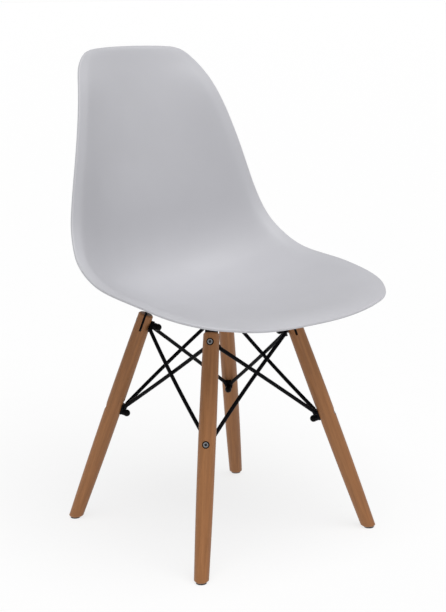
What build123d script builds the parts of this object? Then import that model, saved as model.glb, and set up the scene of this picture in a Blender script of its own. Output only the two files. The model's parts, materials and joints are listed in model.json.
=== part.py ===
"""Dining side chair: a one-piece moulded seat shell on four splayed round wooden legs,
braced by eight black steel rods.

Millimetres. The floor is z = 0 and +Z is up. The sitter faces -Y, so the sitter's
right-hand side is -X. Every leg has its own frame: origin at the centre of the leg's
top end, z up along the leg's axis, x away from the middle of the chair.
"""

import os
from math import dist, hypot

from build123d import *

os.makedirs("parts", exist_ok=True)

# --- Seat shell -------------------------------------------------------------------
SHELL_THICKNESS = 5.0
# Cross-sections from the front edge, over the pan and up the back, to the top edge:
# (centre y, centre z), (half width, rim y, rim z), power of the bowl, flange width.
SHELL_SECTIONS = (
    ((-241, 400.5), (137.5, -236, 409), 2.8, 0.5),
    ((-228, 405.5), (172.5, -226, 416), 3.0, 12),
    ((-202, 410), (206, -196, 424), 2.7, 18),
    ((-165, 409), (224, -165, 431), 2.8, 18),
    ((-105, 405), (235.5, -112, 440.5), 3.0, 18),
    ((-33, 400), (240, -30, 450), 3.0, 18),
    ((45, 398), (229, 45, 463), 2.9, 18),
    ((108, 405.5), (222, 82, 482), 2.7, 18),
    ((151, 429), (213, 106, 505), 2.4, 18),
    ((176.5, 473), (205.5, 121, 530), 2.2, 18),
    ((187.5, 533), (196, 132, 564), 2.1, 18),
    ((198, 610), (179, 145, 628), 2.0, 18),
    ((210, 690), (161, 161, 693), 2.0, 18),
    ((222.5, 758), (140, 189, 758), 2.0, 19),
    ((229, 790), (123, 212, 790), 2.0, 18),
    ((232, 804), (109, 221.5, 804.5), 2.0, 15),
    ((234, 811), (98, 226.5, 811), 2.0, 10),
    ((239, 818.5), (70, 232, 816), 2.3, 0.5),
)
LOFT_SECTIONS = 18
FLANGE_FALL = 0.4
FOLD_SOFTNESS = 0.08
WALL_STEPS = (0.3, 0.55, 0.76, 0.92)
FLANGE_STEPS = (0.25, 0.6, 1.0)
SLOPE_STEP = 0.001
BOSS_RADIUS = 11.0
BOSS_FACE_Z = 387.0
FRONT_BOSS_TOP_Z = 401.0
REAR_BOSS_TOP_Z = 397.0

# --- Legs -------------------------------------------------------------------------
BASE_Y = -5.0
LEG_TOP = (85.3, 90.3, 372.0)
FOOT = (183.5, 183.0, 0.0)
LEG_TOP_RADIUS = 13.0
LEG_BELLY_RADIUS = 14.3
LEG_BELLY_DROP = 160.0
LEG_END_RADIUS = 11.4
LEG_LENGTH = 415.0
TOP_EDGE_BREAK = 2.2
FOOT_EDGE_BREAK = 2.3
SLOT_WIDTH = 4.0
SLOT_DEPTH = 30.0
GLIDE_RADIUS = 8.5
GLIDE_HEIGHT = 2.5
GLIDE_PIN_RADIUS = 2.0
GLIDE_PIN_HEIGHT = 9.0

# --- Bolts through the legs ---------------------------------------------------------
UPPER_DROP = 15.5
LOWER_DROP = 180.0
BOLT_RADIUS = 2.5
BOLT_HOLE_RADIUS = 2.7
HEAD_RADIUS = 4.2
HEAD_HEIGHT = 3.2
WASHER_THICKNESS = 0.8
HEAD_WASHER_RADIUS = 5.9
HEAD_SOCKET_RADIUS = 2.2
HEAD_SOCKET_DEPTH = 2.4
COUNTERBORE_RADIUS = 6.1
COUNTERBORE_FLOOR = 9.0
UPPER_SPOTFACE = 12.6
LOWER_SPOTFACE = 13.4
SPOTFACE_WIDTH = 20.0
SPOTFACE_LENGTH = 30.0
NUT_HALF_FLATS = 5.0
NUT_HEIGHT = 5.5
CAP_RADIUS = 6.0
CAP_SHOULDER = 3.0
CAP_CHAMFER = 1.0
CAP_POCKET_RADIUS = 2.8
CAP_POCKET_DEPTH = 2.2
BOLT_TIP = 1.5

# --- Brace rods ---------------------------------------------------------------------
ROD_RADIUS = 3.3
BEND_RADIUS = 3.5
EYE_RADIUS = 7.0
EYE_THICKNESS = 2.8
EYE_REACH = 11.5
EYE_GAP = 0.1
TONGUE_RADIUS = 5.0
START_LIFT = 1.3
ROD_BOW = 3.1
LUG_THICKNESS = 2.8
LUG_FOOT_RADIUS = 6.5
LUG_EAR_RADIUS = 3.5
LUG_EAR_SIDE = 5.0
LUG_EAR_RISE = 10.0
WELD_SIDE = 4.6
WELD_RISE = 8.6
WELD_LENGTH = 6.0
WELD_FLAT = 0.4

# --- Brackets between the legs and the shell ------------------------------------------
PLATE_THICKNESS = 3.6
PLATE_WIDTH = 21.0
PLATE_TOP_Z = 384.0
TAB_LENGTH = 28.0
MOUNT_REACH = 40.0
MOUNT_SCREW_RADIUS = 3.0
MOUNT_HOLE_RADIUS = 3.3
MOUNT_SCREW_LENGTH = 14.0
MOUNT_HEAD_RADIUS = 5.5
MOUNT_HEAD_HEIGHT = 3.4
WASHER_RADIUS = 8.0
WASHER_HEIGHT = 1.2
PAD_RADIUS = 12.0
INSERT_RADIUS = 4.5
INSERT_HEIGHT = 7.0
THREAD_CLEARANCE = 0.05

# --- Blocks that trim pieces to a plane: larger than what they trim --------------------
LEVEL_CUT_SIZE = 600.0
LEVEL_CUT_DEPTH = 60.0
ROD_CUT_SIZE = 80.0
ROD_CUT_DEPTH = 6.0

# Corners in turn, anticlockwise seen from above: name, x side, y side.
CORNERS = (
    ("rear_left", 1, 1),
    ("rear_right", -1, 1),
    ("front_right", -1, -1),
    ("front_left", 1, -1),
)


def leg_frame(side_x, side_y):
    """Frame at the centre of a leg's top end."""
    top = Vector(side_x * LEG_TOP[0], BASE_Y + side_y * LEG_TOP[1], LEG_TOP[2])
    foot = Vector(side_x * FOOT[0], BASE_Y + side_y * FOOT[1], FOOT[2])
    up = (top - foot).normalized()
    outward = Vector(foot.X - top.X, foot.Y - top.Y, 0)
    outward = (outward - up * outward.dot(up)).normalized()
    return Plane(origin=top, x_dir=outward, z_dir=up)


def at(frame, x, y, z):
    """Global position of a point given in a leg's frame."""
    return frame.origin + frame.x_dir * x + frame.y_dir * y + frame.z_dir * z


def bolt_plane(frame, reach, drop, facing):
    """Plane square to a leg's bolts, facing outward (1) or inward (-1)."""
    origin = at(frame, facing * reach, 0, -drop)
    return Plane(origin=origin, x_dir=frame.y_dir * facing, z_dir=frame.x_dir * facing)


def mount_plane(frame, height):
    """Level plane on the axis of the screw that holds a leg's bracket to the shell."""
    outward = Vector(frame.x_dir.X, frame.x_dir.Y, 0).normalized()
    centre = frame.origin - outward * MOUNT_REACH
    return Plane(origin=(centre.X, centre.Y, height), x_dir=outward, z_dir=(0, 0, 1))


def even_sections(count):
    """Rows of the section table, spread evenly along the rim by smooth interpolation."""
    rows = [(*centre, *rim, power, flange) for centre, rim, power, flange in SHELL_SECTIONS]
    runs = [0.0]
    for before, after in zip(rows, rows[1:]):
        runs.append(runs[-1] + dist(before[2:5], after[2:5]))
    gaps = [after - before for before, after in zip(runs, runs[1:])]
    chords = []
    for before, after, gap in zip(rows, rows[1:], gaps):
        chords.append([(b - a) / gap for a, b in zip(before, after)])
    slopes = [chords[0]]
    for i in range(1, len(gaps)):
        weight = gaps[i] / (gaps[i - 1] + gaps[i])
        slopes.append([a * weight + b * (1 - weight) for a, b in zip(chords[i - 1], chords[i])])
    slopes.append(chords[-1])
    even = []
    for step in range(count):
        run = runs[-1] * step / (count - 1)
        i = max(k for k in range(len(gaps)) if runs[k] <= run)
        t = (run - runs[i]) / gaps[i]
        ends = zip(rows[i], rows[i + 1], slopes[i], slopes[i + 1])
        even.append([
            (1 - t) ** 2 * ((1 + 2 * t) * a + t * gaps[i] * leaving)
            + t ** 2 * ((3 - 2 * t) * b - (1 - t) * gaps[i] * arriving)
            for a, b, leaving, arriving in ends
        ])
    return even


def raw_bowl(share, power, flange):
    """Wall rising from the middle, met by a flatter flange along the rim."""
    wall = (1 - FLANGE_FALL * flange) * (share / (1 - flange)) ** power
    brim = 1 - FLANGE_FALL * (1 - share)
    return (wall + brim - hypot(wall - brim, FOLD_SOFTNESS)) / 2


def section_points(half_width, height, power, flange_width):
    """Inner and outer edge points of one cross-section of the shell."""
    flange = flange_width / half_width
    floor = raw_bowl(0, power, flange)
    scale = height / (raw_bowl(1, power, flange) - floor)
    shares = [step * (1 - flange) for step in WALL_STEPS]
    shares += [1 - flange + step * flange for step in FLANGE_STEPS]
    inner = [(0, 0)]
    outer = [(0, -SHELL_THICKNESS)]
    for share in shares:
        rise = (raw_bowl(share, power, flange) - floor) * scale
        lower = (raw_bowl(share - SLOPE_STEP, power, flange) - floor) * scale
        slope = (rise - lower) / (SLOPE_STEP * half_width)
        drop = SHELL_THICKNESS / hypot(1, slope)
        x = half_width * share
        inner = [(-x, rise)] + inner + [(x, rise)]
        outer = [(-x - slope * drop, rise - drop)] + outer + [(x + slope * drop, rise - drop)]
    return inner, outer


def save(part, name):
    part.label = name
    export_step(part, f"parts/{name}.step")


FRAMES = [leg_frame(side_x, side_y) for _, side_x, side_y in CORNERS]

# --- Seat shell: one moulding with four bosses under the pan ----------------------------
with BuildPart() as seat_shell:
    for section in even_sections(LOFT_SECTIONS):
        centre_y, centre_z, half_width, rim_y, rim_z, power, flange = section
        up = Vector(0, rim_y - centre_y, rim_z - centre_z)
        inner, outer = section_points(half_width, up.length, power, flange)
        plane = Plane(
            origin=(0, centre_y, centre_z),
            x_dir=(1, 0, 0),
            z_dir=Vector(1, 0, 0).cross(up.normalized()),
        )
        with BuildSketch(plane):
            with BuildLine():
                Spline(inner)
                Spline(outer)
                Line(inner[0], outer[0])
                Line(inner[-1], outer[-1])
            make_face()
    loft()
    for frame in FRAMES:
        with BuildSketch(mount_plane(frame, BOSS_FACE_Z)):
            Circle(BOSS_RADIUS)
        boss_top = REAR_BOSS_TOP_Z if frame.origin.Y > 0 else FRONT_BOSS_TOP_Z
        extrude(amount=boss_top - BOSS_FACE_Z)
        with BuildSketch(mount_plane(frame, BOSS_FACE_Z)):
            Circle(INSERT_RADIUS)
        extrude(amount=INSERT_HEIGHT, mode=Mode.SUBTRACT)
save(seat_shell.part, "seat_shell")

# --- Legs, with their slots, spot faces and bolt holes -----------------------------------
for (corner, side_x, side_y), frame in zip(CORNERS, FRAMES):
    foot_centre = (side_x * FOOT[0], BASE_Y + side_y * FOOT[1])
    with BuildPart() as leg:
        side = Plane(origin=frame.origin, x_dir=frame.x_dir, z_dir=-frame.y_dir)
        with BuildSketch(side):
            with BuildLine():
                Polyline(
                    (LEG_END_RADIUS, -LEG_LENGTH),
                    (0, -LEG_LENGTH),
                    (0, 0),
                    (LEG_TOP_RADIUS - TOP_EDGE_BREAK, 0),
                    (LEG_TOP_RADIUS, -TOP_EDGE_BREAK),
                )
                Spline(
                    (LEG_TOP_RADIUS, -TOP_EDGE_BREAK),
                    (LEG_BELLY_RADIUS, -LEG_BELLY_DROP),
                    (LEG_END_RADIUS, -LEG_LENGTH),
                )
            make_face()
        revolve(axis=Axis(frame.origin, frame.z_dir))
        with BuildSketch(Plane.XY.offset(GLIDE_HEIGHT)):
            Rectangle(LEVEL_CUT_SIZE, LEVEL_CUT_SIZE)
        extrude(amount=-LEVEL_CUT_DEPTH, mode=Mode.SUBTRACT)
        chamfer(leg.edges().group_by(Axis.Z)[0], FOOT_EDGE_BREAK)
        with BuildSketch(frame):
            Rectangle(SLOT_WIDTH, 2 * LEG_BELLY_RADIUS)
        extrude(amount=-SLOT_DEPTH, mode=Mode.SUBTRACT)
        for drop, spotface in ((UPPER_DROP, UPPER_SPOTFACE), (LOWER_DROP, LOWER_SPOTFACE)):
            with BuildSketch(bolt_plane(frame, 0, drop, 1)):
                Circle(BOLT_HOLE_RADIUS)
            extrude(amount=LEG_BELLY_RADIUS, both=True, mode=Mode.SUBTRACT)
            with BuildSketch(bolt_plane(frame, COUNTERBORE_FLOOR, drop, 1)):
                Circle(COUNTERBORE_RADIUS)
            extrude(amount=LEG_BELLY_RADIUS, mode=Mode.SUBTRACT)
            with BuildSketch(bolt_plane(frame, spotface, drop, -1)):
                with Locations((0, (SPOTFACE_LENGTH - SPOTFACE_WIDTH) / 2)):
                    SlotOverall(SPOTFACE_LENGTH, SPOTFACE_WIDTH, rotation=90)
            extrude(amount=LEG_BELLY_RADIUS, mode=Mode.SUBTRACT)
        with BuildSketch(Plane(origin=(*foot_centre, GLIDE_HEIGHT))):
            Circle(GLIDE_PIN_RADIUS)
        extrude(amount=GLIDE_PIN_HEIGHT, mode=Mode.SUBTRACT)
    save(leg.part, f"leg_{corner}")

    with BuildPart() as glide:
        with BuildSketch(Plane(origin=(*foot_centre, 0))):
            Circle(GLIDE_RADIUS)
        extrude(amount=GLIDE_HEIGHT)
        with BuildSketch(Plane(origin=(*foot_centre, GLIDE_HEIGHT))):
            Circle(GLIDE_PIN_RADIUS)
        extrude(amount=GLIDE_PIN_HEIGHT)
    save(glide.part, f"glide_{corner}")

# --- Brackets: a tab in the leg's slot, bent over to a plate under the shell --------------
for (corner, _, _), frame in zip(CORNERS, FRAMES):
    with BuildPart() as bracket:
        with BuildSketch(frame):
            Rectangle(PLATE_THICKNESS, PLATE_WIDTH)
        extrude(amount=-TAB_LENGTH)
        with BuildSketch(frame):
            Rectangle(PLATE_THICKNESS, PLATE_WIDTH)
        extrude(amount=PLATE_TOP_Z - LEG_TOP[2])
        plate = mount_plane(frame, PLATE_TOP_Z - PLATE_THICKNESS)
        with BuildSketch(plate):
            Circle(PLATE_WIDTH / 2)
            with Locations((MOUNT_REACH / 2, 0)):
                Rectangle(MOUNT_REACH, PLATE_WIDTH)
        extrude(amount=PLATE_THICKNESS)
        with BuildSketch(plate):
            Circle(MOUNT_HOLE_RADIUS)
        extrude(amount=PLATE_THICKNESS, mode=Mode.SUBTRACT)
        with BuildSketch(bolt_plane(frame, 0, UPPER_DROP, 1)):
            Circle(BOLT_HOLE_RADIUS)
        extrude(amount=PLATE_THICKNESS, both=True, mode=Mode.SUBTRACT)
        with BuildSketch(Plane.XY.offset(PLATE_TOP_Z)):
            Rectangle(LEVEL_CUT_SIZE, LEVEL_CUT_SIZE)
        extrude(amount=LEVEL_CUT_DEPTH, mode=Mode.SUBTRACT)
    save(bracket.part, f"bracket_{corner}")

# --- Pads, inserts, screws and washers that hold the brackets to the shell ------------------
with BuildPart() as pads:
    for frame in FRAMES:
        with BuildSketch(mount_plane(frame, PLATE_TOP_Z)):
            Circle(PAD_RADIUS)
            Circle(MOUNT_HOLE_RADIUS, mode=Mode.SUBTRACT)
        extrude(amount=BOSS_FACE_Z - PLATE_TOP_Z)
save(pads.part, "mount_pads")

with BuildPart() as inserts:
    for frame in FRAMES:
        with BuildSketch(mount_plane(frame, BOSS_FACE_Z)):
            Circle(INSERT_RADIUS)
            Circle(MOUNT_SCREW_RADIUS + THREAD_CLEARANCE, mode=Mode.SUBTRACT)
        extrude(amount=INSERT_HEIGHT)
save(inserts.part, "mount_inserts")

with BuildPart() as washers:
    for frame in FRAMES:
        with BuildSketch(mount_plane(frame, PLATE_TOP_Z - PLATE_THICKNESS)):
            Circle(WASHER_RADIUS)
            Circle(MOUNT_HOLE_RADIUS, mode=Mode.SUBTRACT)
        extrude(amount=-WASHER_HEIGHT)
save(washers.part, "mount_washers")

with BuildPart() as screws:
    for frame in FRAMES:
        seat = mount_plane(frame, PLATE_TOP_Z - PLATE_THICKNESS - WASHER_HEIGHT)
        with BuildSketch(seat):
            Circle(MOUNT_SCREW_RADIUS)
        extrude(amount=MOUNT_SCREW_LENGTH)
        with BuildSketch(seat):
            Circle(MOUNT_HEAD_RADIUS)
        extrude(amount=-MOUNT_HEAD_HEIGHT)
        with BuildSketch(seat.offset(-MOUNT_HEAD_HEIGHT)):
            RegularPolygon(HEAD_SOCKET_RADIUS, 6, major_radius=False)
        extrude(amount=HEAD_SOCKET_DEPTH, mode=Mode.SUBTRACT)
save(screws.part, "mount_screws")

# --- Lugs: one plate against the inside of each leg, for the lower ends of two rods ----------
for (corner, _, _), frame in zip(CORNERS, FRAMES):
    with BuildPart() as lug:
        with BuildSketch(bolt_plane(frame, LOWER_SPOTFACE, LOWER_DROP, -1)):
            Circle(LUG_FOOT_RADIUS)
            with Locations((-LUG_EAR_SIDE, LUG_EAR_RISE), (LUG_EAR_SIDE, LUG_EAR_RISE)):
                Circle(LUG_EAR_RADIUS)
            make_hull()
            Circle(BOLT_HOLE_RADIUS, mode=Mode.SUBTRACT)
        extrude(amount=LUG_THICKNESS)
    save(lug.part, f"lug_{corner}")


def in_plane(direction, plane):
    """Unit direction of a vector laid flat in a plane."""
    flat = direction - plane.z_dir * direction.dot(plane.z_dir)
    return flat.normalized()


# --- Rods: from an eye on one leg's upper bolt to the lug on a neighbouring leg ---------------
# The rod that runs anticlockwise has its eye against its leg and passes outside the other.
for index, (corner, _, _) in enumerate(CORNERS):
    for turn, way in ((1, "a"), (-1, "b")):
        near = FRAMES[index]
        far = FRAMES[(index + turn) % 4]
        layer = 0 if turn > 0 else EYE_THICKNESS + EYE_GAP
        eye_plane = bolt_plane(near, UPPER_SPOTFACE + layer, UPPER_DROP, -1)
        lug_plane = bolt_plane(far, LOWER_SPOTFACE + LUG_THICKNESS, LOWER_DROP, -1)
        eye = eye_plane.origin + eye_plane.z_dir * (EYE_THICKNESS / 2)
        weld = (
            lug_plane.origin
            + lug_plane.z_dir * (ROD_RADIUS - WELD_FLAT)
            - far.y_dir * (turn * WELD_SIDE)
            + far.z_dir * WELD_RISE
        )
        leave = in_plane(weld - eye, eye_plane)
        arrive = in_plane(eye - weld, lug_plane)
        start = eye + leave * EYE_REACH + eye_plane.z_dir * START_LIFT
        finish = weld + arrive * WELD_LENGTH
        outward = (far.origin - near.origin).cross(Vector(0, 0, 1)).normalized() * turn
        middle = (start + finish) * 0.5 + outward * (turn * ROD_BOW)
        with BuildPart() as rod:
            with BuildLine():
                arc = ThreePointArc(start, middle, finish)
            with BuildSketch(Plane(origin=start, z_dir=arc % 0)):
                Circle(ROD_RADIUS)
            sweep()
            with Locations(finish):
                Sphere(BEND_RADIUS)
            with BuildSketch(Plane(origin=finish, z_dir=weld - finish)):
                Circle(ROD_RADIUS)
            extrude(amount=WELD_LENGTH)
            tongue = Plane(origin=eye_plane.origin, x_dir=leave, z_dir=eye_plane.z_dir)
            with BuildSketch(tongue):
                Circle(EYE_RADIUS)
                with Locations((EYE_REACH / 2, 0)):
                    Rectangle(EYE_REACH, 2 * TONGUE_RADIUS)
                with Locations((EYE_REACH, 0)):
                    Circle(TONGUE_RADIUS)
            extrude(amount=EYE_THICKNESS)
            with BuildSketch(tongue):
                Circle(BOLT_HOLE_RADIUS)
            extrude(amount=EYE_THICKNESS, mode=Mode.SUBTRACT)
            with BuildSketch(lug_plane):
                Rectangle(ROD_CUT_SIZE, ROD_CUT_SIZE)
            extrude(amount=-ROD_CUT_DEPTH, mode=Mode.SUBTRACT)
        save(rod.part, f"rod_{corner}_{way}")

# --- Bolts, nuts and nut caps, one set for the upper holes and one for the lower -----------------
LEVELS = (
    ("upper", UPPER_DROP, UPPER_SPOTFACE + 2 * EYE_THICKNESS + EYE_GAP),
    ("lower", LOWER_DROP, LOWER_SPOTFACE + LUG_THICKNESS),
)
for level, drop, nut_seat in LEVELS:
    with BuildPart() as bolts:
        for frame in FRAMES:
            floor = bolt_plane(frame, COUNTERBORE_FLOOR, drop, 1)
            with BuildSketch(floor):
                Circle(BOLT_RADIUS)
            extrude(amount=-(COUNTERBORE_FLOOR + nut_seat + NUT_HEIGHT + BOLT_TIP))
            with BuildSketch(floor):
                Circle(BOLT_RADIUS)
            extrude(amount=WASHER_THICKNESS)
            with BuildSketch(floor.offset(WASHER_THICKNESS)):
                Circle(HEAD_RADIUS)
            extrude(amount=HEAD_HEIGHT)
            with BuildSketch(floor.offset(WASHER_THICKNESS + HEAD_HEIGHT)):
                RegularPolygon(HEAD_SOCKET_RADIUS, 6, major_radius=False)
            extrude(amount=-HEAD_SOCKET_DEPTH, mode=Mode.SUBTRACT)
    save(bolts.part, f"{level}_bolts")

    with BuildPart() as head_washers:
        for frame in FRAMES:
            with BuildSketch(bolt_plane(frame, COUNTERBORE_FLOOR, drop, 1)):
                Circle(HEAD_WASHER_RADIUS)
                Circle(BOLT_HOLE_RADIUS, mode=Mode.SUBTRACT)
            extrude(amount=WASHER_THICKNESS)
    save(head_washers.part, f"{level}_washers")

    with BuildPart() as nuts:
        for frame in FRAMES:
            with BuildSketch(bolt_plane(frame, nut_seat, drop, -1)):
                RegularPolygon(NUT_HALF_FLATS, 6, major_radius=False)
                Circle(BOLT_RADIUS + THREAD_CLEARANCE, mode=Mode.SUBTRACT)
            extrude(amount=NUT_HEIGHT)
    save(nuts.part, f"{level}_nuts")

    with BuildPart() as caps:
        for frame in FRAMES:
            base = bolt_plane(frame, nut_seat + NUT_HEIGHT, drop, -1)
            half = Plane(origin=base.origin, x_dir=base.x_dir, z_dir=-base.y_dir)
            with BuildSketch(half):
                with BuildLine():
                    crown = CAP_SHOULDER + CAP_RADIUS
                    Polyline(
                        (0, crown),
                        (0, 0),
                        (CAP_RADIUS - CAP_CHAMFER, 0),
                        (CAP_RADIUS, CAP_CHAMFER),
                        (CAP_RADIUS, CAP_SHOULDER),
                    )
                    RadiusArc((CAP_RADIUS, CAP_SHOULDER), (0, crown), -CAP_RADIUS)
                make_face()
            revolve(axis=Axis(base.origin, base.z_dir))
            with BuildSketch(base):
                Circle(CAP_POCKET_RADIUS)
            extrude(amount=CAP_POCKET_DEPTH, mode=Mode.SUBTRACT)
    save(caps.part, f"{level}_nut_caps")
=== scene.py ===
"""Dining side chair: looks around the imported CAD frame.

Metres, floor at z = 0, +Z up, the sitter faces -Y.
"""

import json
import math

import bmesh
import bpy
import numpy as np
from mathutils import Matrix, Vector


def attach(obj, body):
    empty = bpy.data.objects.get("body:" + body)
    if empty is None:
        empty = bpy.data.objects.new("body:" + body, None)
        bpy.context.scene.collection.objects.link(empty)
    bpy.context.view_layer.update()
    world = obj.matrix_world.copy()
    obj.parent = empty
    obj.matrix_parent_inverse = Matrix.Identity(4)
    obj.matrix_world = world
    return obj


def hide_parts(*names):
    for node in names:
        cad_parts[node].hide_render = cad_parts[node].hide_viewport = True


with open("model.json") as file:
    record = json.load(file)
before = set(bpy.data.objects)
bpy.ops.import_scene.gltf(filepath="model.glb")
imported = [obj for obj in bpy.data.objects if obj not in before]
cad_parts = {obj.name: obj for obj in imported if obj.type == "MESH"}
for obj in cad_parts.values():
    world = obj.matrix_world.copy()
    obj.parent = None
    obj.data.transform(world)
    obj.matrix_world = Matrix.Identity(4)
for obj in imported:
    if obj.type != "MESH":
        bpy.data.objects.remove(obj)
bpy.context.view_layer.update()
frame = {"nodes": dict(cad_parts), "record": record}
NODES = frame["nodes"]
SLOTS = {s["node"]: s["material_slot"] for s in frame["record"]["subparts"]}
MM = 0.001

# --- Where the CAD puts the legs and the bosses under the shell -----------------------------------
CORNERS = {"rear_left": (1, 1), "rear_right": (-1, 1), "front_right": (-1, -1), "front_left": (1, -1)}
BASE_Y = -0.005
LEG_TOP = (0.0853, 0.0903, 0.372)
FOOT = (0.1835, 0.183, 0.0)
# A boss stands this far inward of its leg's top end.
MOUNT_REACH = 0.040
BOSS_FACE_Z = 0.387
BOSS_RADIUS = 0.011
INSERT_RADIUS = 0.0045
INSERT_HEIGHT = 0.007
# Rounding of a boss's lower edge; its one middle point lies this share of the rounding from the corner.
EDGE_ROUND = 0.0008
EDGE_MIDDLE = 0.3
# Flare where a boss runs into the shell, and how far it sinks into the shell.
FLARE = 0.006
FLARE_SINK = 0.0015
FLARE_STEPS = 8
BOSS_SIDES = 48

# --- Seat shell: the same cross-sections as the CAD, from the front edge to the top edge ----------
# (centre y, centre z), (half width, rim y, rim z), power of the bowl, flange width, in millimetres.
SHELL_SECTIONS = (
    ((-241, 400.5), (137.5, -236, 409), 2.8, 0.5),
    ((-228, 405.5), (172.5, -226, 416), 3.0, 12),
    ((-202, 410), (206, -196, 424), 2.7, 18),
    ((-165, 409), (224, -165, 431), 2.8, 18),
    ((-105, 405), (235.5, -112, 440.5), 3.0, 18),
    ((-33, 400), (240, -30, 450), 3.0, 18),
    ((45, 398), (229, 45, 463), 2.9, 18),
    ((108, 405.5), (222, 82, 482), 2.7, 18),
    ((151, 429), (213, 106, 505), 2.4, 18),
    ((176.5, 473), (205.5, 121, 530), 2.2, 18),
    ((187.5, 533), (196, 132, 564), 2.1, 18),
    ((198, 610), (179, 145, 628), 2.0, 18),
    ((210, 690), (161, 161, 693), 2.0, 18),
    ((222.5, 758), (140, 189, 758), 2.0, 19),
    ((229, 790), (123, 212, 790), 2.0, 18),
    ((232, 804), (109, 221.5, 804.5), 2.0, 15),
    ((234, 811), (98, 226.5, 811), 2.0, 10),
    ((239, 818.5), (70, 232, 816), 2.3, 0.5),
)
FLANGE_FALL = 0.4
FOLD_SOFTNESS = 0.08
SHELL_THICKNESS = 5.0
LIP = SHELL_THICKNESS / 2
LIP_STEPS = 8
# Rows are fewer at the top, where the rim meets the last row at a very small angle. Columns are closer
# together towards the rim: the crowding is the angle in radians whose sine is the rim.
ROWS_PER_SECTION = 8
ROWS_AT_TOP = 3
COLUMNS = 120
COLUMN_CROWDING = 1.2
# Smoothing of the shell's directions: passes over the grid, then distances round the rim in millimetres.
NORMAL_BLURS = 3
EASING_BLURS = 8
OUTER_BLURS = 4
RIM_REACH = 5.0
RIM_BLUR = (-12.0, -8.0, -4.0, 0.0, 4.0, 8.0, 12.0)


def spline(knots, values, at):
    """Natural cubic spline through values (one row per knot), read off at the given places."""
    knots = np.asarray(knots, float)
    values = np.asarray(values, float)
    step = np.diff(knots)
    count = len(knots)
    system = np.eye(count)
    right = np.zeros_like(values)
    for i in range(1, count - 1):
        system[i, i - 1:i + 2] = step[i - 1], 2 * (step[i - 1] + step[i]), step[i]
        rise = (values[i + 1] - values[i]) / step[i] - (values[i] - values[i - 1]) / step[i - 1]
        right[i] = 6 * rise
    curve = np.linalg.solve(system, right)
    i = np.clip(np.searchsorted(knots, at, side="right") - 1, 0, count - 2)
    h = step[i][:, None]
    a = (knots[i + 1] - at)[:, None] / h
    b = 1 - a
    cubic = ((a ** 3 - a) * curve[i] + (b ** 3 - b) * curve[i + 1]) * h ** 2 / 6
    return a * values[i] + b * values[i + 1] + cubic


def raw_bowl(share, power, flange):
    """Wall rising from the middle, met by a flatter flange along the rim.

    The share is the place across the shell, 0 in the middle and 1 at the rim.
    """
    wall = (1 - FLANGE_FALL * flange) * (share / (1 - flange)) ** power
    brim = 1 - FLANGE_FALL * (1 - share)
    return (wall + brim - np.hypot(wall - brim, FOLD_SOFTNESS)) / 2


def unit(vectors):
    """The same directions, each one long."""
    return vectors / np.linalg.norm(vectors, axis=-1, keepdims=True)


def inward(rows):
    """Directions towards the middle of the shell, square to its rim, one for each row."""
    rim = rows[:, 2:5]
    along = unit(np.gradient(rim, axis=0))
    to_middle = -rim
    to_middle[:, 1:] += rows[:, 0:2]
    return unit(to_middle - along * np.sum(to_middle * along, axis=1, keepdims=True))


def shell_grid():
    """Inner surface of the shell as an array of rows by columns of points, in millimetres.

    It stops half a thickness short of the rim, where the lip's rounding starts.
    """
    table = np.array([[*centre, *rim, *bend] for centre, rim, *bend in SHELL_SECTIONS], float)
    # The middle of the front edge moves back and the middle of the top edge moves down.
    table[0, 0] += LIP
    table[-1, 1] -= LIP
    run = np.linalg.norm(np.diff(table[:, 2:5], axis=0), axis=1)
    knots = np.concatenate([[0], np.cumsum(run)])
    counts = [ROWS_PER_SECTION] * (len(knots) - 2) + [ROWS_AT_TOP]
    stretches = [
        np.linspace(start, end, count, endpoint=False)
        for start, end, count in zip(knots, knots[1:], counts)
    ]
    rows = spline(knots, table, np.concatenate([*stretches, knots[-1:]]))
    across = np.sin(np.linspace(-1, 1, COLUMNS + 1) * COLUMN_CROWDING) / math.sin(COLUMN_CROWDING)
    centre = rows[:, 0:2]
    rim = rows[:, 2:5] + LIP * inward(rows)
    climb = rim[:, 1:3] - centre
    power = rows[:, 5:6]
    flange = rows[:, 6:7] / rows[:, 2:3]
    floor = raw_bowl(0.0, power, flange)
    full = raw_bowl(1.0, power, flange)
    lift = (raw_bowl(np.abs(across)[None, :], power, flange) - floor) / (full - floor)
    grid = np.empty((len(rows), len(across), 3))
    grid[:, :, 0] = rim[:, 0:1] * across[None, :]
    grid[:, :, 1] = centre[:, 0:1] + climb[:, 0:1] * lift
    grid[:, :, 2] = centre[:, 1:2] + climb[:, 1:2] * lift
    return grid


def blurred(field):
    """Average over each point of a grid and its eight neighbours."""
    padded = np.pad(field, ((1, 1), (1, 1), (0, 0)), mode="edge")
    rows, columns = field.shape[:2]
    return sum(padded[i:i + rows, j:j + columns] for i in range(3) for j in range(3)) / 9


def surface_normals(grid):
    """Smoothed directions square to the shell's inner surface, upward from the pan."""
    normal = np.cross(np.gradient(grid, axis=1), np.gradient(grid, axis=0))
    for _ in range(NORMAL_BLURS):
        normal = blurred(normal)
    return unit(normal)


def rim_loop(rows, columns):
    """Row numbers and column numbers of the grid's edge points, in order round the rim."""
    loop = [(0, j) for j in range(columns)]
    loop += [(i, columns - 1) for i in range(1, rows)]
    loop += [(rows - 1, j) for j in range(columns - 2, -1, -1)]
    loop += [(i, 0) for i in range(rows - 2, 0, -1)]
    return tuple(np.array(loop).T)


def further_on(field, places, length, shift):
    """Values given at places round a closed loop, read off the given distance further on."""
    return np.stack([np.interp(places + shift, places, part, period=length) for part in field.T], axis=1)


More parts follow.
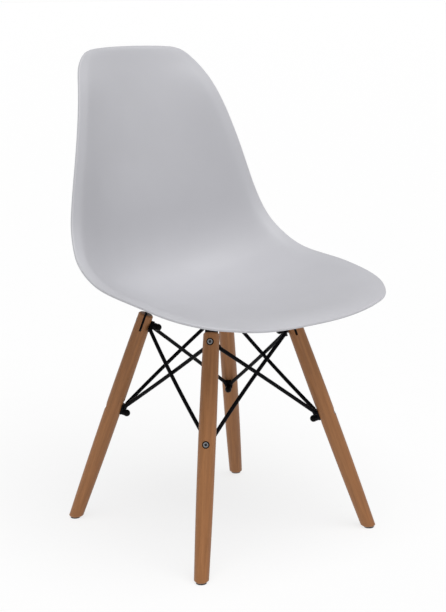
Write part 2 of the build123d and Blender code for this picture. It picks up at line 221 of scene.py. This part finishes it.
def rim_directions(edge, facing):
    """Smoothed directions round the rim: square to the surface, and outward in the surface."""
    gaps = np.linalg.norm(np.roll(edge, -1, axis=0) - edge, axis=1)
    length = gaps.sum()
    places = np.cumsum(gaps) - gaps
    facing = unit(sum(further_on(facing, places, length, shift) for shift in RIM_BLUR))
    ahead = further_on(edge, places, length, RIM_REACH)
    behind = further_on(edge, places, length, -RIM_REACH)
    along = unit(ahead - behind)
    facing = unit(facing - along * np.sum(along * facing, axis=1, keepdims=True))
    return facing, np.cross(along, facing)


def outer_surface(grid, normal, rim, facing):
    """Outer surface, one thickness below the inner one, with its edge where the lip ends."""
    normal[rim] = facing
    for _ in range(EASING_BLURS):
        normal = unit(blurred(normal))
        normal[rim] = facing
    outer = grid - normal * SHELL_THICKNESS
    outer_edge = outer[rim]
    for _ in range(OUTER_BLURS):
        outer = blurred(outer)
        outer[rim] = outer_edge
    return outer


def mesh_object(name, points, faces, material):
    """New smooth object from points in metres, joined where points coincide."""
    mesh = bpy.data.meshes.new(name)
    mesh.from_pydata([tuple(p) for p in points], [], faces)
    mesh.validate()
    piece = bpy.data.objects.new(name, mesh)
    bpy.context.collection.objects.link(piece)
    work = bmesh.new()
    work.from_mesh(mesh)
    bmesh.ops.remove_doubles(work, verts=work.verts, dist=1e-6)
    bmesh.ops.recalc_face_normals(work, faces=work.faces)
    work.to_mesh(mesh)
    work.free()
    mesh.shade_smooth()
    mesh.materials.append(material)
    return piece


def grid_faces(first, rows, columns):
    """Faces of a grid of points that are numbered row by row, from the first on."""
    corners = [first + i * columns + j for i in range(rows - 1) for j in range(columns - 1)]
    return [(a, a + 1, a + columns + 1, a + columns) for a in corners]


def band_faces(rings):
    """Faces between each closed ring of point numbers and the next one."""
    faces = []
    for inner, outer in zip(rings, rings[1:]):
        for k in range(len(inner)):
            m = (k + 1) % len(inner)
            faces.append((inner[k], outer[k], outer[m], inner[m]))
    return faces


def build_shell(grid, material):
    """The moulding: inner and outer surface, joined round the rim by a half-round lip."""
    rows, columns = grid.shape[:2]
    size = rows * columns
    rim = rim_loop(rows, columns)
    normal = surface_normals(grid)
    edge = grid[rim]
    facing, out = rim_directions(edge, normal[rim])
    outer = outer_surface(grid, normal, rim, facing)
    points = [*grid.reshape(-1, 3), *outer.reshape(-1, 3)]
    inner_ring = (rim[0] * columns + rim[1]).tolist()
    rings = [inner_ring]
    for step in range(1, LIP_STEPS):
        turn = math.pi * step / LIP_STEPS
        rings.append(list(range(len(points), len(points) + len(edge))))
        points += list(edge - facing * LIP + LIP * (facing * math.cos(turn) + out * math.sin(turn)))
    rings.append([size + number for number in inner_ring])
    # The outer surface's faces are listed the other way round, so that they face outward.
    faces = grid_faces(0, rows, columns)
    faces += [face[::-1] for face in grid_faces(size, rows, columns)]
    faces += band_faces(rings)
    return mesh_object("moulded_shell", np.array(points) * MM, faces, material)


def mount_centre(side_x, side_y):
    """Middle of the boss over one leg, on the screw's axis, in metres."""
    top = Vector((side_x * LEG_TOP[0], BASE_Y + side_y * LEG_TOP[1], 0))
    outward = Vector((side_x * (FOOT[0] - LEG_TOP[0]), side_y * (FOOT[1] - LEG_TOP[1]), 0))
    return top - outward.normalized() * MOUNT_REACH


def underside_height(grid, x, y):
    """Height of the shell's underside over a point of the pan, in metres.

    The first half of the grid's rows holds the pan.
    """
    pan = grid[:len(grid) // 2]
    away = np.hypot(pan[:, :, 0] - x / MM, pan[:, :, 1] - y / MM)
    row, column = np.unravel_index(np.argmin(away), away.shape)
    return (pan[row, column, 2] - SHELL_THICKNESS) * MM


def boss_outline(top):
    """Radius and height of a boss's outline, from its insert's hole round to its top, in metres."""
    outline = [
        (INSERT_RADIUS, BOSS_FACE_Z + INSERT_HEIGHT),
        (INSERT_RADIUS, BOSS_FACE_Z),
        (BOSS_RADIUS - EDGE_ROUND, BOSS_FACE_Z),
        (BOSS_RADIUS - EDGE_MIDDLE * EDGE_ROUND, BOSS_FACE_Z + EDGE_MIDDLE * EDGE_ROUND),
        (BOSS_RADIUS, BOSS_FACE_Z + EDGE_ROUND),
    ]
    for step in range(FLARE_STEPS + 1):
        turn = math.pi / 2 * step / FLARE_STEPS
        outline.append((
            BOSS_RADIUS + FLARE * (1 - math.cos(turn)),
            top - FLARE * (1 - math.sin(turn)) + FLARE_SINK,
        ))
    outline.append((INSERT_RADIUS, top + FLARE_SINK))
    return outline


def build_bosses(grid, material):
    """Turned bosses under the pan, flared where they run into the shell."""
    points = []
    faces = []
    for side_x, side_y in CORNERS.values():
        centre = mount_centre(side_x, side_y)
        outline = boss_outline(underside_height(grid, centre.x, centre.y))
        first = len(points)
        count = len(outline)
        for k in range(BOSS_SIDES):
            angle = 2 * math.pi * k / BOSS_SIDES
            for radius, z in outline:
                points.append((centre.x + radius * math.cos(angle), centre.y + radius * math.sin(angle), z))
        for k in range(BOSS_SIDES):
            near = first + k * count
            far = first + (k + 1) % BOSS_SIDES * count
            for m in range(count):
                n = (m + 1) % count
                faces.append((near + m, far + m, far + n, near + n))
    return mesh_object("shell_bosses", points, faces, material)


# --- Materials ------------------------------------------------------------------------------------
# Sockets of Blender's Mix node when it mixes colours.
MIX_WEIGHT = 0
MIX_COLOURS = (6, 7)
MIX_RESULT = 2


def new_material(name):
    """New material, with its node tree and its shader."""
    material = bpy.data.materials.new(name)
    material.use_nodes = True
    tree = material.node_tree
    return material, tree, tree.nodes["Principled BSDF"]


def add(tree, kind, **sockets):
    """New node, with values for its sockets by their names in small letters."""
    node = tree.nodes.new(kind)
    for key, value in sockets.items():
        node.inputs[key.title()].default_value = value
    return node


def ramp(tree, source, stops):
    """Colour ramp fed by a factor; stops are (position, colour or grey)."""
    node = tree.nodes.new("ShaderNodeValToRGB")
    tree.links.new(source, node.inputs["Fac"])
    elements = node.color_ramp.elements
    while len(elements) < len(stops):
        elements.new(0.5)
    for element, (position, colour) in zip(elements, stops):
        element.position = position
        if isinstance(colour, (int, float)):
            colour = (colour, colour, colour)
        element.color = (*colour, 1)
    return node.outputs["Color"]


def multiply(tree, colour, layer, weight):
    """Colour darkened or lightened by a layer, as far as its weight says."""
    mix = tree.nodes.new("ShaderNodeMix")
    mix.data_type = "RGBA"
    mix.blend_type = "MULTIPLY"
    mix.inputs[MIX_WEIGHT].default_value = weight
    for source, socket in zip((colour, layer), MIX_COLOURS):
        tree.links.new(source, mix.inputs[socket])
    return mix.outputs[MIX_RESULT]


def relief(tree, shader, height, depth):
    """Bump of the given depth in metres."""
    bump = add(tree, "ShaderNodeBump", distance=depth)
    tree.links.new(height, bump.inputs["Height"])
    tree.links.new(bump.outputs["Normal"], shader.inputs["Normal"])


# Noise scales are in repeats per metre. A ramp's stops are (value fed in, grey or colour that comes out).
PATCH_SCALE = 12.0
PATCH_RANGE = (0.35, 0.65)
GRAIN_RANGE = (0.3, 0.7)
# Painted shade in hollows, partly standing for dirt: occlusion fed in, grey that darkens the colour.
DIRT_AND_SHADE_STOPS = ((0.45, 0.08), (0.85, 1.0))


def surface(name, colour, spread, rough, rough_spread, grain, bump, metallic=0.0, shine=0.5, dirt_and_shade_reach=None):
    """A finish with patchy colour and a fine grain in its roughness and its bump.

    Where a reach for hollows is given, hollows narrower than that many metres are painted darker: painted
    shade, partly standing for dirt in them.
    """
    material, tree, shader = new_material(name)
    place = tree.nodes.new("ShaderNodeTexCoord").outputs["Object"]
    broad = add(tree, "ShaderNodeTexNoise", scale=PATCH_SCALE, detail=4.0)
    fine = add(tree, "ShaderNodeTexNoise", scale=grain, detail=3.0)
    for node in (broad, fine):
        tree.links.new(place, node.inputs["Vector"])
    low = [c * (1 - spread) for c in colour]
    high = [min(1.0, c * (1 + spread)) for c in colour]
    tint = ramp(tree, broad.outputs["Fac"], tuple(zip(PATCH_RANGE, (low, high))))
    if dirt_and_shade_reach:
        # Painted shade: the colour goes darker where ambient occlusion finds narrow hollows, partly
        # standing for dirt in them.
        hollow = add(tree, "ShaderNodeAmbientOcclusion", distance=dirt_and_shade_reach)
        shade = ramp(tree, hollow.outputs["AO"], DIRT_AND_SHADE_STOPS)
        tint = multiply(tree, tint, shade, 1.0)
    tree.links.new(tint, shader.inputs["Base Color"])
    gloss = tuple(zip(GRAIN_RANGE, (rough - rough_spread, rough + rough_spread)))
    tree.links.new(ramp(tree, fine.outputs["Fac"], gloss), shader.inputs["Roughness"])
    relief(tree, shader, fine.outputs["Fac"], bump)
    shader.inputs["Metallic"].default_value = metallic
    shader.inputs["Specular IOR Level"].default_value = shine
    return material


BEECH_DARK = (0.27, 0.112, 0.040)
BEECH_LIGHT = (0.365, 0.162, 0.062)
BEECH_SHINE = 0.3
BEECH_RELIEF = 0.00025
BAND_SCALE = 45.0
FIBRE_SCALE = 260.0
FLECK_SCALE = 620.0
# Scales along the leg as a share of those across it: the smaller, the longer the fibres and flecks.
FIBRE_STRETCH = 0.05
FLECK_STRETCH = 0.16
FIBRE_STOPS = ((0.32, 0.80), (0.68, 1.08))
FLECK_STOPS = ((0.10, 0.72), (0.26, 1.0))
FLECK_WEIGHT = 0.55
BEECH_GLOSS = ((0.3, 0.36), (0.7, 0.5))


def beech(name, up, origin):
    """Straight fine grain along one leg; its first Mapping turns the leg's axis to z."""
    material, tree, shader = new_material(name)
    place = tree.nodes.new("ShaderNodeTexCoord").outputs["Object"]
    turn = up.rotation_difference(Vector((0, 0, 1))).to_euler()
    shift = -(turn.to_matrix() @ origin)
    align = add(tree, "ShaderNodeMapping", rotation=turn, location=shift)
    tree.links.new(place, align.inputs["Vector"])
    along_grain = add(tree, "ShaderNodeMapping", scale=(1, 1, FIBRE_STRETCH))
    along_flecks = add(tree, "ShaderNodeMapping", scale=(1, 1, FLECK_STRETCH))
    for stretch in (along_grain, along_flecks):
        tree.links.new(align.outputs["Vector"], stretch.inputs["Vector"])
    fibres = add(tree, "ShaderNodeTexNoise", scale=FIBRE_SCALE, detail=6.0, roughness=0.62)
    bands = add(tree, "ShaderNodeTexNoise", scale=BAND_SCALE, detail=3.0)
    flecks = add(tree, "ShaderNodeTexVoronoi", scale=FLECK_SCALE)
    for node, stretch in ((fibres, along_grain), (bands, along_grain), (flecks, along_flecks)):
        tree.links.new(stretch.outputs["Vector"], node.inputs["Vector"])
    wood = ramp(tree, bands.outputs["Fac"], tuple(zip(GRAIN_RANGE, (BEECH_DARK, BEECH_LIGHT))))
    wood = multiply(tree, wood, ramp(tree, fibres.outputs["Fac"], FIBRE_STOPS), 1.0)
    wood = multiply(tree, wood, ramp(tree, flecks.outputs["Distance"], FLECK_STOPS), FLECK_WEIGHT)
    tree.links.new(wood, shader.inputs["Base Color"])
    tree.links.new(ramp(tree, fibres.outputs["Fac"], BEECH_GLOSS), shader.inputs["Roughness"])
    shader.inputs["Specular IOR Level"].default_value = BEECH_SHINE
    relief(tree, shader, fibres.outputs["Fac"], BEECH_RELIEF)
    return material


# The finish of each material slot but the wood: colour and its spread, roughness and its spread,
# scale of the grain and depth of its bump.
SLOT_FINISHES = {
    "shell_plastic": dict(
        colour=(0.478, 0.478, 0.505), spread=0.012, rough=0.47, rough_spread=0.04,
        grain=2400.0, bump=0.00004, shine=0.4,
    ),
    "black_steel": dict(
        colour=(0.002, 0.002, 0.003), spread=0.2, rough=0.42, rough_spread=0.08,
        grain=1500.0, bump=0.00006, shine=0.06,
    ),
    "black_plastic": dict(
        colour=(0.002, 0.002, 0.002), spread=0.15, rough=0.36, rough_spread=0.06,
        grain=900.0, bump=0.00004, shine=0.07,
    ),
    # The zinc parts get painted shade in their hollows, partly standing for dirt.
    "zinc_steel": dict(
        colour=(0.40, 0.40, 0.41), spread=0.08, rough=0.34, rough_spread=0.1,
        grain=700.0, bump=0.00003, metallic=1.0, dirt_and_shade_reach=0.0035,
    ),
    "brass": dict(
        colour=(0.68, 0.5, 0.22), spread=0.08, rough=0.3, rough_spread=0.08,
        grain=700.0, bump=0.00003, metallic=1.0,
    ),
    "rubber": dict(
        colour=(0.02, 0.02, 0.02), spread=0.2, rough=0.75, rough_spread=0.08,
        grain=900.0, bump=0.0001,
    ),
    "glide_plastic": dict(
        colour=(0.03, 0.03, 0.032), spread=0.15, rough=0.5, rough_spread=0.06,
        grain=900.0, bump=0.00005,
    ),
}
finishes = {slot: surface(slot, **values) for slot, values in SLOT_FINISHES.items()}


# --- CAD nodes keep their shape and get their finish, and the shell is replaced -------------------
def leg_axis(corner):
    """Centre of a leg's top end, and the direction up the leg."""
    side_x, side_y = CORNERS[corner]
    top = Vector((side_x * LEG_TOP[0], BASE_Y + side_y * LEG_TOP[1], LEG_TOP[2]))
    foot = Vector((side_x * FOOT[0], BASE_Y + side_y * FOOT[1], FOOT[2]))
    return top, (top - foot).normalized()


for name, node in NODES.items():
    slot = SLOTS[name]
    if slot == "beech":
        top, up = leg_axis(name.removeprefix("leg_"))
        material = beech(name + "_grain", up, top)
    else:
        material = finishes[slot]
    node.data.materials.clear()
    node.data.materials.append(material)

shell_surface = shell_grid()
for build in (build_shell, build_bosses):
    piece = build(shell_surface, finishes["shell_plastic"])
    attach(piece, "root")
    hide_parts("seat_shell")

# --- Floor: so large that its far edge lies on the horizon ----------------------------------------
FLOOR_HALF = 3000.0
FLOOR_GLOW = 0.76
floor_finish = surface(
    "studio_floor", colour=(0.2, 0.2, 0.2), spread=0.004, rough=0.8, rough_spread=0.03,
    grain=40.0, bump=0.0, shine=0.1,
)
floor_shader = floor_finish.node_tree.nodes["Principled BSDF"]
floor_shader.inputs["Emission Color"].default_value = (1, 1, 1, 1)
floor_shader.inputs["Emission Strength"].default_value = FLOOR_GLOW
floor = mesh_object(
    "studio_floor",
    [(x * FLOOR_HALF, y * FLOOR_HALF, 0) for x, y in ((-1, -1), (1, -1), (1, 1), (-1, 1))],
    [(0, 1, 2, 3)],
    floor_finish,
)

# --- Light: bright round the horizon, dimmer overhead, and one very soft sun ----------------------
# The backdrop itself is seen at the horizon's strength all over.
BACKDROP = 0.98
OVERHEAD = 0.38
SUN_ENERGY = 2.5
SUN_SPREAD = math.radians(60)
SUN_WAY = Vector((-0.1, -0.4, 1.0))
# (z of a direction that is one long, strength of the light from there).
GLOW_STOPS = ((0.0, BACKDROP), (0.02, BACKDROP), (0.1, OVERHEAD))

world = bpy.data.worlds.new("studio")
world.use_nodes = True
world_tree = world.node_tree
sky = world_tree.nodes["Background"]
sky.inputs["Color"].default_value = (1, 1, 1, 1)
way = world_tree.nodes.new("ShaderNodeTexCoord").outputs["Generated"]
height = world_tree.nodes.new("ShaderNodeSeparateXYZ")
world_tree.links.new(way, height.inputs["Vector"])
glow = ramp(world_tree, height.outputs["Z"], GLOW_STOPS)
seen = world_tree.nodes.new("ShaderNodeLightPath").outputs["Is Camera Ray"]
backdrop = world_tree.nodes.new("ShaderNodeMath")
backdrop.operation = "MULTIPLY"
backdrop.inputs[1].default_value = BACKDROP
strength = world_tree.nodes.new("ShaderNodeMath")
strength.operation = "MAXIMUM"
world_tree.links.new(seen, backdrop.inputs[0])
world_tree.links.new(backdrop.outputs["Value"], strength.inputs[0])
world_tree.links.new(glow, strength.inputs[1])
world_tree.links.new(strength.outputs["Value"], sky.inputs["Strength"])
bpy.context.scene.world = world

sun = bpy.data.objects.new("overhead", bpy.data.lights.new("overhead", "SUN"))
sun.data.energy = SUN_ENERGY
sun.data.angle = SUN_SPREAD
sun.rotation_euler = SUN_WAY.to_track_quat("Z", "Y").to_euler()
bpy.context.collection.objects.link(sun)

# --- Camera ---------------------------------------------------------------------------------------
AZIMUTH = math.radians(-38.41)
ELEVATION = math.radians(12.65)
ROLL = math.radians(-0.56)
DISTANCE = 2.307
TARGET = Vector((0.0064, -0.0101, 0.3881))
LENS = 80.13
SENSOR_WIDTH = 36.0
FURTHEST_SEEN = 10000.0

back = Vector((
    math.sin(AZIMUTH) * math.cos(ELEVATION),
    -math.cos(AZIMUTH) * math.cos(ELEVATION),
    math.sin(ELEVATION),
))
right = Vector((0, 0, 1)).cross(back).normalized()
up = back.cross(right)
rolled_right = right * math.cos(ROLL) + up * math.sin(ROLL)
rolled_up = up * math.cos(ROLL) - right * math.sin(ROLL)
pose = Matrix((rolled_right, rolled_up, back)).transposed().to_4x4()
pose.translation = TARGET + back * DISTANCE

camera = bpy.data.objects.new("camera", bpy.data.cameras.new("camera"))
camera.data.lens = LENS
camera.data.sensor_width = SENSOR_WIDTH
camera.data.sensor_fit = "AUTO"
camera.data.clip_end = FURTHEST_SEEN
camera.matrix_world = pose
bpy.context.collection.objects.link(camera)
bpy.context.scene.camera = camera
bpy.context.scene.view_settings.view_transform = "Standard"
